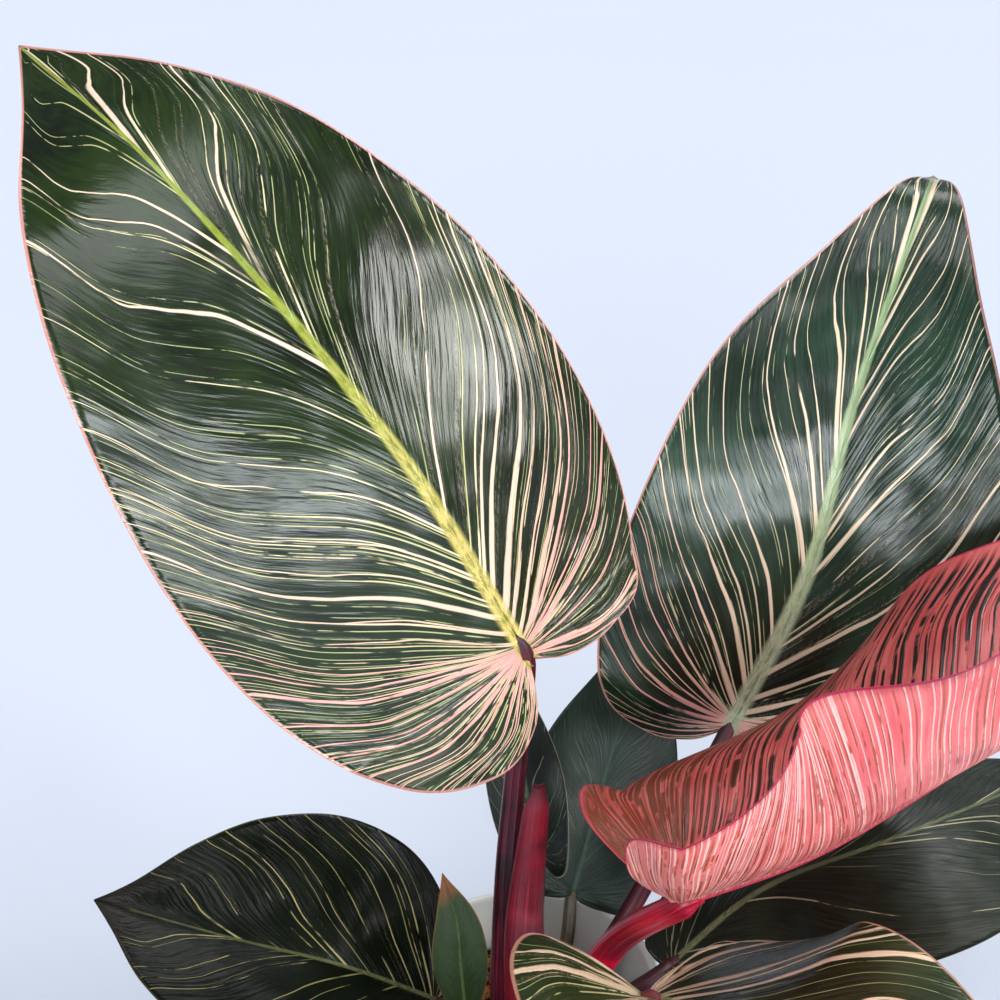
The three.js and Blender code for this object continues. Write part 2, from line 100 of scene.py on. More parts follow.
# Leaves, as in the CAD source. Pairs are left and right half unless said otherwise.
# midrib, stalk: points in millimetres, outward from the crown. stalk_radius: at foot and top.
# face: where the upper face looks at base and tip, in degrees round from the front and up.
# half_width: of the flat blade. lobe: how much of the outline's lobe is there. lobe_dip: its bend.
# fold: lift of a half at base and tip. curl: its roll over one blade length. Both in radians.
# wave: depth and phase of the margin's slow waves. Too fine for the solids, so only here:
# ruffle: depth, number and phase of small crimps. vein_sweep: how much further forward stripes run
# towards the margin. square_veins: how far they run square to the midrib.
LEAVES = {
    "striped_left": dict(
        midrib=[(8, -20, 218), (-23, -16, 280), (-73, 7, 343), (-117, 52, 372)],
        face=[(25, 31), (23, 15)], half_width=(66, 58), lobe=(1.05, 0.45),
        fold=[(-0.34, -0.02), (0.01, 0.10)], curl=(-0.16, -1.44), lobe_dip=-0.55,
        wave=[(2.6, -0.19), (-0.2, 0.48)], outline=HEART, ruffle=[(0.9, 5.0, 0.1), (0.5, 4.0, 0.3)],
        stalk=[(-3, -2, 68), (-5, -4, 87), (-2, -9, 134), (2, -13, 171), (5, -17, 196)],
        stalk_radius=(5.0, 2.5)),
    "striped_right": dict(
        midrib=[(74, 46, 146), (98, 49, 199), (114, 63, 252), (138, 86, 305), (152, 120, 307)],
        face=[(-3, 23), (-5, 65)], half_width=(57, 58), lobe=(0.74, 1.0),
        fold=[(0.13, 0.0), (0.17, 0.17)], curl=(-0.46, -0.36), lobe_dip=0.3,
        wave=[(-1.3, -0.09), (-0.1, -0.04)], outline=TAPERED, vein_sweep=0.04,
        stalk=[(2, 1, 70), (19, 6, 78), (36, 16, 96), (56, 32, 122)],
        stalk_radius=(4.0, 2.4)),
    "pink": dict(
        midrib=[(45, -39, 149), (87, -31, 158), (140, -20, 184), (219, 9, 212)],
        face=[(187, 63), (185, 78)], half_width=(74, 70), lobe=(1.09, 0.85),
        fold=[(1.01, 1.73), (0.21, 0.35)], curl=(-4.38, 2.52), lobe_dip=-0.67,
        wave=[(-6.6, 1.14), (-5.2, 1.69)], outline=HEART, ruffle=[(0.8, 5.0, 0.0), (3.6, 5.0, 0.25)],
        square_veins=(0.0, 0.75),
        stalk=[(4, -2, 76), (19, -10, 94), (29, -20, 118), (36, -28, 132)],
        stalk_radius=(5.6, 4.0)),
    "low_left": dict(
        midrib=[(-26, -4, 84), (-53, -12, 108), (-86, -12, 122), (-125, -8, 136)],
        face=[(-31, 70), (-30, 65)], half_width=(42, 44), lobe=(1, 1),
        fold=[(0.45, 0.35), (0.7, -0.2)], curl=(0, 0.1), lobe_dip=0.05,
        wave=[(-2.5, -0.5), (2.5, -0.33)], outline=OVAL,
        stalk=[(-3, -1, 66), (-12, -1, 71), (-20, -1, 77)],
        stalk_radius=(3.4, 2.2)),
    "small_green": dict(
        midrib=[(-17, -18, 94), (-17, -20, 113), (-17, -21, 131), (-20, -20, 148)],
        face=[(0, 20), (0, 30)], half_width=(8.5, 8.5), lobe=(1, 1),
        fold=[(0.3, 0.2), (0.3, 0.2)], curl=(0.4, 0.4), lobe_dip=0,
        wave=[(0, 0), (0, 0)], outline=OVAL,
        stalk=[(-2, -3, 64), (-9, -10, 70), (-14, -15, 82)],
        stalk_radius=(2.4, 1.3)),
    "back": dict(
        midrib=[(19, 28, 95), (30, 46, 120), (41, 63, 144), (50, 80, 167)],
        face=[(15, 30), (-5, 30)], half_width=(27, 27), lobe=(0.3, 0.3),
        fold=[(0.3, 0.05), (0.05, 0.14)], curl=(-0.23, -0.44), lobe_dip=0.5,
        wave=[(2, -0.36), (-0.5, -0.08)], outline=HEART,
        stalk=[(3, 4, 64), (10, 14, 70), (16, 22, 80)],
        stalk_radius=(3.2, 2.0)),
    "low_right": dict(
        midrib=[(45, -10, 98), (79, 10, 109), (122, 13, 124), (194, 48, 122)],
        face=[(0, 73), (22, 68)], half_width=(38, 44), lobe=(0, 0.8),
        fold=[(-0.5, -0.3), (0.25, 0.13)], curl=(-0.4, -0.26), lobe_dip=0,
        wave=[(0, 0), (1, 0.17)], outline=OVAL,
        stalk=[(4, -1, 64), (17, -5, 71), (31, -8, 84)],
        stalk_radius=(3.8, 2.3)),
    "striped_front": dict(
        midrib=[(36, -36, 113), (64, -71, 129), (102, -97, 115), (147, -115, 44)],
        face=[(31, 70), (37, 60)], half_width=(50, 50), lobe=(0.16, 1.5),
        fold=[(-0.09, 0.19), (0.45, 0.1)], curl=(-0.37, -0.37), lobe_dip=-0.66,
        wave=[(-2.5, 0.01), (-3, -1.56)], outline=HEART,
        stalk=[(3, -4, 68), (12, -16, 76), (24, -27, 92)],
        stalk_radius=(4.0, 2.6)),
    "slim_back": dict(
        midrib=[(9, 22, 117), (6, 28, 139), (3, 33, 163), (-3, 40, 188)],
        face=[(-21, 12), (0, 28)], half_width=(13, 13), lobe=(1, 1),
        fold=[(0.08, 0.09), (0.26, 0.1)], curl=(-0.45, -0.34), lobe_dip=0,
        wave=[(-0.2, -0.11), (2.1, -0.26)], outline=HEART,
        stalk=[(1, 4, 66), (4, 13, 80), (8, 19, 100)],
        stalk_radius=(2.2, 1.0)),
}

# Slow waves to a half's margin, and how the spacing of its crimps drifts
WAVES = 2
NO_RUFFLE = [(0, 0, 0), (0, 0, 0)]
RUFFLE_DRIFT = 0.25
RUFFLE_DRIFT_RATE = 9

# Stripes bend forward where they leave the midrib and again a little at the margin
RIB_BEND = 0.05
RIB_BEND_REACH = 0.34
RIB_BEND_RANGE = (0.2, 0.5)
MARGIN_BEND = 0.03
MARGIN_BEND_RANGE = (0.6, 1.0)
PITCH_LIMITS = (5, 600)


# Geometry helpers

def unit(vectors):
    return vectors / np.maximum(np.linalg.norm(vectors, axis=-1, keepdims=True), 1e-9)


def mix(start, end, share):
    return start + (end - start) * share


def smoothstep(value, low, high):
    share = np.clip((value - low) / (high - low), 0, 1)
    return share * share * (3 - 2 * share)


def facing(around, up):
    a, e = math.radians(around), math.radians(up)
    return np.array([math.cos(e) * math.sin(a), -math.cos(e) * math.cos(a), math.sin(e)])


def spline(points, count, runs_on):
    """Catmull-Rom curve at even steps of its length, with its length; runs_on mirrors the end points."""
    points = np.array(points, float)
    first = 2 * points[0] - points[1] if runs_on else points[0]
    last = 2 * points[-1] - points[-2] if runs_on else points[-1]
    padded = np.vstack([first, points, last])
    t = np.linspace(0, 1, SPLINE_STEPS, endpoint=False)[:, None]
    fine = []
    for p0, p1, p2, p3 in zip(padded, padded[1:], padded[2:], padded[3:]):
        leave, arrive = (p2 - p0) / 2, (p3 - p1) / 2
        fine.append(p1 + leave * t + (3 * (p2 - p1) - 2 * leave - arrive) * t ** 2
                    + (2 * (p1 - p2) + leave + arrive) * t ** 3)
    fine = np.vstack(fine + [points[-1:]])
    lengths = np.concatenate([[0], np.cumsum(np.linalg.norm(np.diff(fine, axis=0), axis=1))])
    even = np.linspace(0, lengths[-1], count)
    return np.stack([np.interp(even, lengths, column) for column in fine.T], 1), lengths[-1]


def lookup(table, share):
    places = np.linspace(0, 1, len(table))
    return np.stack([np.interp(share, places, column) for column in table.T], -1)


def circle(sides):
    return np.linspace(0, 2 * np.pi, sides, endpoint=False)


def level_ring(radius, angles, height):
    """Points round the upright axis."""
    return np.stack([radius * np.cos(angles), radius * np.sin(angles), 0 * angles + height], -1)


def tube_faces(rings, sides):
    """Faces of a closed tube whose points run round it ring by ring."""
    faces = []
    for ring in range(rings - 1):
        for turn in range(sides):
            a = ring * sides + turn
            b = ring * sides + (turn + 1) % sides
            faces.append((a, b, b + sides, a + sides))
    faces.append(tuple(range(sides - 1, -1, -1)))
    faces.append(tuple(range((rings - 1) * sides, rings * sides)))
    return faces


def grid_quads(rows, columns):
    """The numbers of a grid's points, and its cells as quads."""
    index = np.arange(rows * columns).reshape(rows, columns)
    quads = np.stack([index[:-1, :-1], index[:-1, 1:], index[1:, 1:], index[1:, :-1]], -1)
    return index, quads.reshape(-1, 4)


def shell_faces(quads, rim, count):
    """Faces of a thin shell: the quads, the same quads count points on, and a wall along the rim."""
    faces = [tuple(quad) for quad in quads.tolist()]
    faces += [tuple(reversed([corner + count for corner in quad])) for quad in quads.tolist()]
    for a, b in zip(rim, rim[1:]):
        faces.append((int(a), int(b), int(b + count), int(a + count)))
    return faces


def grid_normals(points, faces):
    """Area-weighted normals at the points of a quad mesh."""
    quads = np.array(faces)
    a, b, c, d = (points[quads[:, i]] for i in range(4))
    normals = np.cross(c - a, d - b)
    summed = np.zeros_like(points)
    for i in range(4):
        np.add.at(summed, quads[:, i], normals)
    return unit(summed)


def add_object(name, data):
    made = bpy.data.objects.new(name, data)
    bpy.context.scene.collection.objects.link(made)
    return made


def add_mesh(name, points, faces, attributes=None, material=None):
    """A smooth mesh object from points in millimetres, with one number per point for each attribute."""
    mesh = bpy.data.meshes.new(name)
    mesh.from_pydata((np.asarray(points) * MM).tolist(), [], faces)
    for key, values in (attributes or {}).items():
        layer = mesh.attributes.new(key, "FLOAT", "POINT")
        layer.data.foreach_set("value", np.asarray(values, np.float32).ravel())
    mesh.polygons.foreach_set("use_smooth", [True] * len(mesh.polygons))
    mesh.update()
    piece = add_object(name, mesh)
    if material:
        mesh.materials.append(material)
    return piece


def dress(piece, node):
    """The piece stands in for a CAD node, whose part is hidden, and hangs on the root body."""
    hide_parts(node)
    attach(piece, "root")


# Materials

def linear(code):
    """A hex colour as Blender's linear colour."""
    parts = [int(code[i:i + 2], 16) / 255 for i in (1, 3, 5)]
    return [c / 12.92 if c <= 0.04045 else ((c + 0.055) / 1.055) ** 2.4 for c in parts] + [1.0]


class Nodes:
    """A material's node tree, built from short calls that take and return sockets or plain values."""

    def __init__(self, name):
        self.material = bpy.data.materials.new(name)
        self.material.use_nodes = True
        self.tree = self.material.node_tree
        self.shader = self.tree.nodes["Principled BSDF"]

    def put(self, socket, value):
        """Links a socket, or sets it to a value or a colour's code."""
        if isinstance(value, bpy.types.NodeSocket):
            self.tree.links.new(value, socket)
        else:
            socket.default_value = linear(value) if isinstance(value, str) else value

    def node(self, kind, **inputs):
        made = self.tree.nodes.new(kind)
        for key, value in inputs.items():
            self.put(made.inputs[key.replace("_", " ")], value)
        return made

    def math(self, operation, *values):
        made = self.tree.nodes.new("ShaderNodeMath")
        made.operation = operation
        for socket, value in zip(made.inputs, values):
            self.put(socket, value)
        return made.outputs[0]

    def add(self, a, b):
        return self.math("ADD", a, b)

    def sub(self, a, b):
        return self.math("SUBTRACT", a, b)

    def mul(self, *values):
        product = values[0]
        for value in values[1:]:
            product = self.math("MULTIPLY", product, value)
        return product

    def ramp(self, value, low, high, start=0.0, end=1.0):
        """Smooth step from start to end as value runs from low to high."""
        made = self.tree.nodes.new("ShaderNodeMapRange")
        made.interpolation_type = "SMOOTHSTEP"
        for socket, number in zip(made.inputs, (value, low, high, start, end)):
            self.put(socket, number)
        return made.outputs[0]

    def blend(self, share, a, b):
        """Colour b over colour a by share."""
        made = self.tree.nodes.new("ShaderNodeMix")
        made.data_type = "RGBA"
        self.put(made.inputs[0], share)
        self.put(made.inputs[6], a)
        self.put(made.inputs[7], b)
        return made.outputs[2]

    def vector(self, x, y, z):
        made = self.node("ShaderNodeCombineXYZ", X=x, Y=y, Z=z)
        return made.outputs[0]

    def noise(self, where, scale, detail, roughness=0.5):
        made = self.node("ShaderNodeTexNoise", Vector=where, Scale=scale, Detail=detail,
                         Roughness=roughness)
        return made.outputs[0]

    def noise_over(self, a, b, scales, seed, detail, roughness=0.5):
        """Noise over two values, each with a scale of its own."""
        where = self.vector(self.mul(a, scales[0]), self.mul(b, scales[1]), seed)
        return self.noise(where, 1.0, detail, roughness)

    def attribute(self, key):
        made = self.node("ShaderNodeAttribute")
        made.attribute_name = key
        return made.outputs["Fac"]

    def position(self):
        return self.node("ShaderNodeTexCoord").outputs["Object"]

    def stretched(self, scales):
        """The position with a scale of its own along each axis."""
        return self.node("ShaderNodeMapping", Vector=self.position(), Scale=scales).outputs[0]

    def randoms(self, x, y, z):
        """Three random numbers for a cell."""
        made = self.node("ShaderNodeTexWhiteNoise", Vector=self.vector(x, y, z))
        split = self.node("ShaderNodeSeparateColor", Color=made.outputs["Color"])
        return split.outputs

    def bump(self, height, distance):
        made = self.node("ShaderNodeBump", Height=height, Distance=distance, Strength=1.0)
        return made.outputs[0]

    def finish(self, **inputs):
        for key, value in inputs.items():
            self.put(self.shader.inputs[key.replace("_", " ")], value)
        return self.material


# Stripes: a name with RANGE holds where a smooth step starts and ends

WANDER_SCALES = (9.0, 2.4)
WANDER = 0.9
TIP_WANDER = 0.15
TIP_RANGE = (0.75, 0.97)
SPOT_START = 0.2
SPOT_SPREAD = 0.6
CELL_SCALE = 3.7
GRAIN = 7.0
SWELL_START = 0.2
SWELL_SPREAD = 1.6
MOSTLY_THIN = 2.2
TAPER = (1.5, 0.55)
TAPER_REACH = 0.75
THINNING = 0.7
THINNING_RANGE = (0.3, 0.9)
LINE_CORE = 0.55
LINE_BLUR = 0.09
FEWER_RANGE = (0.3, 0.95)
BREAK_BLUR = 0.05
RIM_RANGE = (0.88, 0.97)
NEAR_RANGE = (0.28, 0.58)
NEAR_SHARE = 0.95


def stripe_layer(n, place, layer, seed):
    """Broken lines along the side veins: their mask and their colour."""
    vein, across, pitch, side = place

    # One line to each cell of vein, at a random place in it
    count = layer["count"]
    wander = n.noise_over(vein, across, WANDER_SCALES, seed, 2.0)
    sway = n.ramp(vein, *TIP_RANGE, layer.get("wander", WANDER), TIP_WANDER)
    shifted = n.add(n.mul(vein, float(count)), n.mul(n.sub(wander, 0.5), sway))
    cell = n.math("FLOOR", shifted)
    part = n.sub(shifted, cell)
    spot, size, luck = n.randoms(cell, side, seed)
    centre = n.add(n.mul(spot, SPOT_SPREAD), SPOT_START)
    gap = n.mul(n.math("ABSOLUTE", n.sub(part, centre)), 1.0 / count, pitch)

    # Its width, which swells and tapers
    low, high = layer["width"]
    grain = n.noise_over(cell, across, (CELL_SCALE, layer.get("grain", GRAIN)), seed + 0.5, 3.0)
    swell = n.add(n.mul(grain, SWELL_SPREAD), SWELL_START)
    taper = n.ramp(across, 0.0, TAPER_REACH, *layer.get("taper", TAPER))
    thinner = n.ramp(vein, *THINNING_RANGE, 1.0, THINNING)
    whole_width = n.add(n.mul(n.math("POWER", size, MOSTLY_THIN), high - low), low)
    width = n.mul(whole_width, 0.5, swell, n.mul(taper, thinner))
    line = n.ramp(gap, n.mul(width, LINE_CORE), n.add(width, LINE_BLUR), 1.0, 0.0)

    # Whether it is there, where it breaks off, and how it ends at the margin
    share = n.ramp(vein, *FEWER_RANGE, layer["share"], layer["share"] * layer.get("tip", 1.0))
    share = n.mul(share, n.ramp(side, 0.0, 1.0, *layer.get("sides", (1.0, 1.0))))
    there = n.math("LESS_THAN", luck, share)
    whole = n.ramp(grain, layer["broken"] - BREAK_BLUR, layer["broken"] + BREAK_BLUR)
    at_rim = n.ramp(across, *RIM_RANGE, 1.0, layer.get("rim", 1.0))
    mask = n.mul(line, there, whole, at_rim)

    first, second = layer["colours"]
    colour = n.blend(n.mul(n.add(size, spot), 0.5), first, second)
    if "near" in layer:
        near = n.ramp(vein, *NEAR_RANGE, NEAR_SHARE, 0.0)
        colour = n.blend(near, colour, layer["near"])
    return mask, colour


# Ground, midrib, margin and relief of a blade

GROUND_CLOUD = 28.0
GROUND_STREAKS = (150.0, 5.0)
CLOUD_SHARE = 0.6
STREAK_SHARE = 0.4
GROUND_RANGE = (0.36, 0.66)
STREAK_SEED = 3.0
LAYER_SEED = 11.0
UNDER_SEED = 100.0

RIB_SPECKLES = (60.0, 1.1)
RIB_RANGE = (0.0, 0.9)
RIB_BLUR = (0.45, 1.05)
RIB_TINT_RANGE = (0.05, 0.6)
RIB_DARK_RANGE = (0.45, 0.6)
RIB_DARK_SHARE = 0.8
MARGIN_BLUR = (0.6, 1.3)
DRY_CLOUD = 90.0
DRY_RAGGED = 0.18
DRY_RANGE = (0.80, 0.95)

RIPPLES = 120.0
RIPPLES_ACROSS = 3.0
RIPPLE_SEED = 2.0
RIPPLE_DEPTH = 0.5
STRIPE_HEIGHT = 0.12
SWELLS = 42.0
SWELL_DEPTH = 3.4
BLADE_RELIEF = 0.0006
UNEVEN = 55.0
UNEVEN_RANGE = (0.35, 0.65)
SMOOTHER = 0.03
ROUGHER = 0.05
SPECULAR = 0.5


def face_colour(n, place, face, seed):
    """Ground colours with all stripe layers over them, and the stripes' summed height."""
    vein, across, _, _ = place
    cloud = n.noise(n.position(), GROUND_CLOUD, 3.0)
    streak = n.noise_over(vein, across, GROUND_STREAKS, seed + STREAK_SEED, 3.0)
    uneven = n.add(n.mul(cloud, CLOUD_SHARE), n.mul(streak, STREAK_SHARE))
    dark, light = face["ground"]
    colour = n.blend(n.ramp(uneven, *GROUND_RANGE), dark, light)
    height = 0.0
    for index, layer in enumerate(face["layers"]):
        mask, tint = stripe_layer(n, place, layer, seed + LAYER_SEED * index)
        colour = n.blend(mask, colour, tint)
        height = n.add(height, n.mul(mask, layer["width"][1]))
    return colour, height


def blade_material(name, look):
    n = Nodes(name)
    place = [n.attribute(key) for key in ("vein", "across", "pitch", "side")]
    vein, across, _, _ = place
    along, rib, edge, upper = (n.attribute(key) for key in ("along", "rib", "edge", "upper"))
    top, top_height = face_colour(n, place, look["upper"], look["seed"])
    under, under_height = face_colour(n, place, look.get("under", GREEN_UNDER), look["seed"] + UNDER_SEED)
    colour = n.blend(upper, under, top)
    height = n.ramp(upper, 0.0, 1.0, under_height, top_height)

    # Midrib band, speckled, wide at the stalk and fine at the tip
    speckle = n.noise_over(along, rib, RIB_SPECKLES, look["seed"], 4.0, 0.7)
    band = n.mul(n.ramp(along, *RIB_RANGE, *look["rib_width"]), n.add(speckle, 0.5))
    core, rim = RIB_BLUR
    band_mask = n.ramp(rib, n.mul(band, core), n.mul(band, rim), 1.0, 0.0)
    base_tint, tip_tint, dark_tint = look["rib_tints"]
    band_tint = n.blend(n.ramp(along, *RIB_TINT_RANGE), base_tint, tip_tint)
    band_tint = n.blend(n.ramp(speckle, *RIB_DARK_RANGE, 0.0, RIB_DARK_SHARE), band_tint, dark_tint)
    colour = n.blend(band_mask, colour, band_tint)

    # Margin line and dried tip
    core, rim = MARGIN_BLUR
    margin_tint, margin_width = look["margin"]
    margin = n.ramp(edge, margin_width * core, margin_width * rim, 1.0, 0.0)
    colour = n.blend(margin, colour, margin_tint)
    if "dry_tip" in look:
        cloud = n.noise(n.position(), DRY_CLOUD, 3.0)
        ragged = n.add(along, n.mul(n.sub(cloud, 0.5), DRY_RAGGED))
        colour = n.blend(n.ramp(ragged, *DRY_RANGE), colour, look["dry_tip"])

    # Relief of ripples, stripes and slow swells, and uneven gloss
    scales = (look.get("ripples", RIPPLES), RIPPLES_ACROSS)
    ripple = n.noise_over(vein, across, scales, RIPPLE_SEED, 3.0)
    relief = n.mul(ripple, look.get("ripple_depth", RIPPLE_DEPTH))
    relief = n.add(relief, n.mul(height, STRIPE_HEIGHT))
    relief = n.add(relief, n.mul(n.noise(n.position(), SWELLS, 1.0), SWELL_DEPTH))
    uneven = n.noise(n.position(), UNEVEN, 2.0)
    rough = look["roughness"]
    roughness = n.ramp(uneven, *UNEVEN_RANGE, rough - SMOOTHER, rough + ROUGHER)
    return n.finish(Base_Color=colour, Roughness=roughness,
                    Normal=n.bump(relief, look.get("relief", BLADE_RELIEF)),
                    Specular_IOR_Level=look.get("specular", SPECULAR))


# Looks. ground: dark and light. Each layer has count: stripes on half a blade; width: thinnest and
# thickest, in millimetres; share: of stripes that are there, tip: of those near the tip, sides: on
# each half; broken: how much is missing, grain: how often; wander: how far they sway; taper: width
# at midrib and margin; rim: how much reaches the margin; near: the colour close to the stalk.

CREAM = "#e6d2b0"
PINKISH = "#e6a298"

STRIPED_UNDER = dict(ground=("#4a5a3a", "#64734c"), layers=[
    dict(count=40, width=(0.3, 1.2), share=0.6, broken=0.35, colours=("#8f9a6c", "#b7a98a")),
])
GREEN_UNDER = dict(ground=("#46583c", "#5f7050"), layers=[
    dict(count=30, width=(0.2, 0.6), share=0.6, broken=0.35, colours=("#6f8060", "#7f8f6a")),
])

LOOKS = {
    "striped_left": dict(
        seed=1.0, roughness=0.22, margin=("#c98a80", 0.9),
        rib_width=(2.7, 0.5), rib_tints=("#d8c070", "#8a9c38", "#7f8426"),
        under=STRIPED_UNDER,
        upper=dict(ground=("#0a1403", "#1d3009"), layers=[
            dict(count=170, width=(0.13, 0.32), share=0.66, broken=0.46, tip=0.3, grain=9.0, wander=0.5,
                 sides=(1.0, 0.35), colours=("#7d8a45", "#cfca96")),
            dict(count=86, width=(0.20, 0.56), share=0.5, broken=0.43, tip=0.35, grain=6.0, wander=0.5,
                 sides=(1.0, 0.45), colours=("#dcd4a2", CREAM), near="#e0b8a0"),
            dict(count=34, width=(0.40, 1.5), share=0.85, broken=0.38, tip=0.6, grain=4.0, wander=0.7,
                 sides=(1.0, 0.62), colours=(CREAM, "#ecd0b8"), near=PINKISH),
        ])),
    "striped_right": dict(
        seed=2.0, roughness=0.22, margin=("#c58e84", 0.9),
        rib_width=(3.6, 0.9), rib_tints=("#c6cdaa", "#8fa878", "#95a67a"),
        under=STRIPED_UNDER,
        upper=dict(ground=("#0e1e12", "#1f3a28"), layers=[
            dict(count=90, width=(0.12, 0.26), share=0.45, broken=0.50, tip=0.3, wander=0.5,
                 colours=("#7d8a5a", "#b9ba92")),
            dict(count=56, width=(0.20, 0.50), share=0.5, broken=0.44, tip=0.5, grain=5.0, wander=0.5,
                 colours=("#c9c79c", CREAM), near="#e0b8a0"),
            dict(count=24, width=(0.45, 1.6), share=0.9, broken=0.34, tip=0.8, grain=3.0, wander=0.6,
                 taper=(2.0, 0.55), colours=(CREAM, "#ecd0b8"), near=PINKISH),
        ])),
    "pink": dict(
        seed=3.0, roughness=0.33, margin=("#c22a55", 0.7),
        rib_width=(3.0, 1.2), rib_tints=("#d2465c", "#c8485a", "#b83048"), relief=0.0008,
        upper=dict(ground=("#cc4c4e", "#e87a74"), layers=[
            dict(count=170, width=(0.30, 0.9), share=0.75, broken=0.42, rim=0.1, grain=8.0,
                 colours=("#5a1c12", "#7c3420"), near="#a85a40", taper=(0.9, 1.0)),
            dict(count=84, width=(0.8, 2.8), share=0.9, broken=0.40, rim=0.1,
                 colours=("#120705", "#2c0f0a"), near="#8a4028", taper=(0.6, 1.0)),
        ]),
        under=dict(ground=("#d4585c", "#ea807c"), layers=[
            dict(count=150, width=(0.35, 1.0), share=0.8, broken=0.44, rim=0.6, grain=6.0,
                 colours=("#8a3020", "#b05a40"), taper=(0.8, 1.0)),
            dict(count=150, width=(0.25, 0.80), share=0.7, broken=0.38,
                 colours=("#f2a09c", "#f8c4bc"), taper=(0.8, 1.0)),
        ])),
    "low_left": dict(
        seed=4.0, roughness=0.24, specular=0.15, margin=("#3a3820", 0.5), dry_tip="#120c08",
        rib_width=(1.1, 0.4), rib_tints=("#6f7350", "#3f4828", "#4a4e2c"),
        upper=dict(ground=("#030602", "#0b1207"), layers=[
            dict(count=46, width=(0.14, 0.55), share=0.6, broken=0.44, tip=0.6, grain=5.0,
                 colours=("#5c6038", "#a89a6a")),
        ])),
    "small_green": dict(
        seed=5.0, roughness=0.42, margin=("#6e5426", 0.6), dry_tip="#7d4a24",
        rib_width=(0.7, 0.3), rib_tints=("#3d5228", "#36491e", "#46602c"),
        upper=dict(ground=("#17270f", "#2b3f16"), layers=[])),
    "back": dict(
        seed=6.0, roughness=0.38, margin=("#33503c", 0.4),
        rib_width=(1.0, 0.4), rib_tints=("#33503e", "#284234", "#24392c"),
        upper=dict(ground=("#0c1d13", "#183024"), layers=[
            dict(count=30, width=(0.2, 0.5), share=0.45, broken=0.42, colours=("#223a2c", "#2e4a3a")),
        ])),
    "low_right": dict(
        seed=7.0, roughness=0.33, margin=("#4a4a34", 0.4),
        rib_width=(1.6, 0.6), rib_tints=("#8d8f66", "#5f6c4c", "#666c48"),
        ripples=90.0, ripple_depth=1.0,
        upper=dict(ground=("#0e160d", "#202b1d"), layers=[
            dict(count=44, width=(0.14, 0.5), share=0.4, broken=0.47, grain=5.0,
                 colours=("#66735a", "#c4bd96")),
        ])),
    "striped_front": dict(
        seed=8.0, roughness=0.3, margin=("#b5806c", 1.0),
        rib_width=(3.0, 1.0), rib_tints=("#aab07c", "#8f9a60", "#7b8450"),
        under=STRIPED_UNDER,
        upper=dict(ground=("#10190a", "#263414"), layers=[
            dict(count=80, width=(0.16, 0.6), share=0.6, broken=0.42,
                 colours=("#7d8850", "#c3bd88")),
            dict(count=20, width=(0.9, 3.2), share=0.9, broken=0.30, grain=4.0,
                 colours=("#e4cfae", "#dcb69c"), taper=(1.1, 0.8)),
        ])),
    "slim_back": dict(
        seed=9.0, roughness=0.34, margin=("#8f8f78", 0.5),
        rib_width=(1.0, 0.4), rib_tints=("#5f6f50", "#4a5c40", "#43543a"),
        upper=dict(ground=("#0a120b", "#16231a"), layers=[
            dict(count=24, width=(0.12, 0.4), share=0.4, broken=0.46, colours=("#5a6a4c", "#9a9a78")),
        ])),
}

# Slot of the blade, slot of the stalk, and the stalk's colours: a darker shade in random blotches, its
# body, and the paler colour of its painted highlight streaks
FINISHES = {
    "striped_left": ("blade_striped", "stalk_maroon", ("#1e0610", "#4c0c1e", "#8c3048")),
    "striped_right": ("blade_striped", "stalk_maroon", ("#2a0a18", "#5a1228", "#7a2a40")),
    "pink": ("blade_pink", "stalk_red", ("#86001c", "#b8002a", "#e8335e")),
    "low_left": ("blade_green", "stalk_brown", ("#2a2418", "#4a3424", "#6a5434")),
    "small_green": ("blade_green", "stalk_brown", ("#33401c", "#4a5a2a", "#6a7a3a")),
    "back": ("blade_green", "stalk_brown", ("#3a3018", "#5a4a2a", "#74683c")),
    "low_right": ("blade_green", "stalk_maroon", ("#2a0a14", "#5a2028", "#7a3a40")),
    "striped_front": ("blade_striped", "stalk_maroon", ("#5a2030", "#8a4048", "#a86a60")),
    "slim_back": ("blade_green", "stalk_maroon", ("#2a0a12", "#5a1a28", "#7a2a38")),
}


# Blades

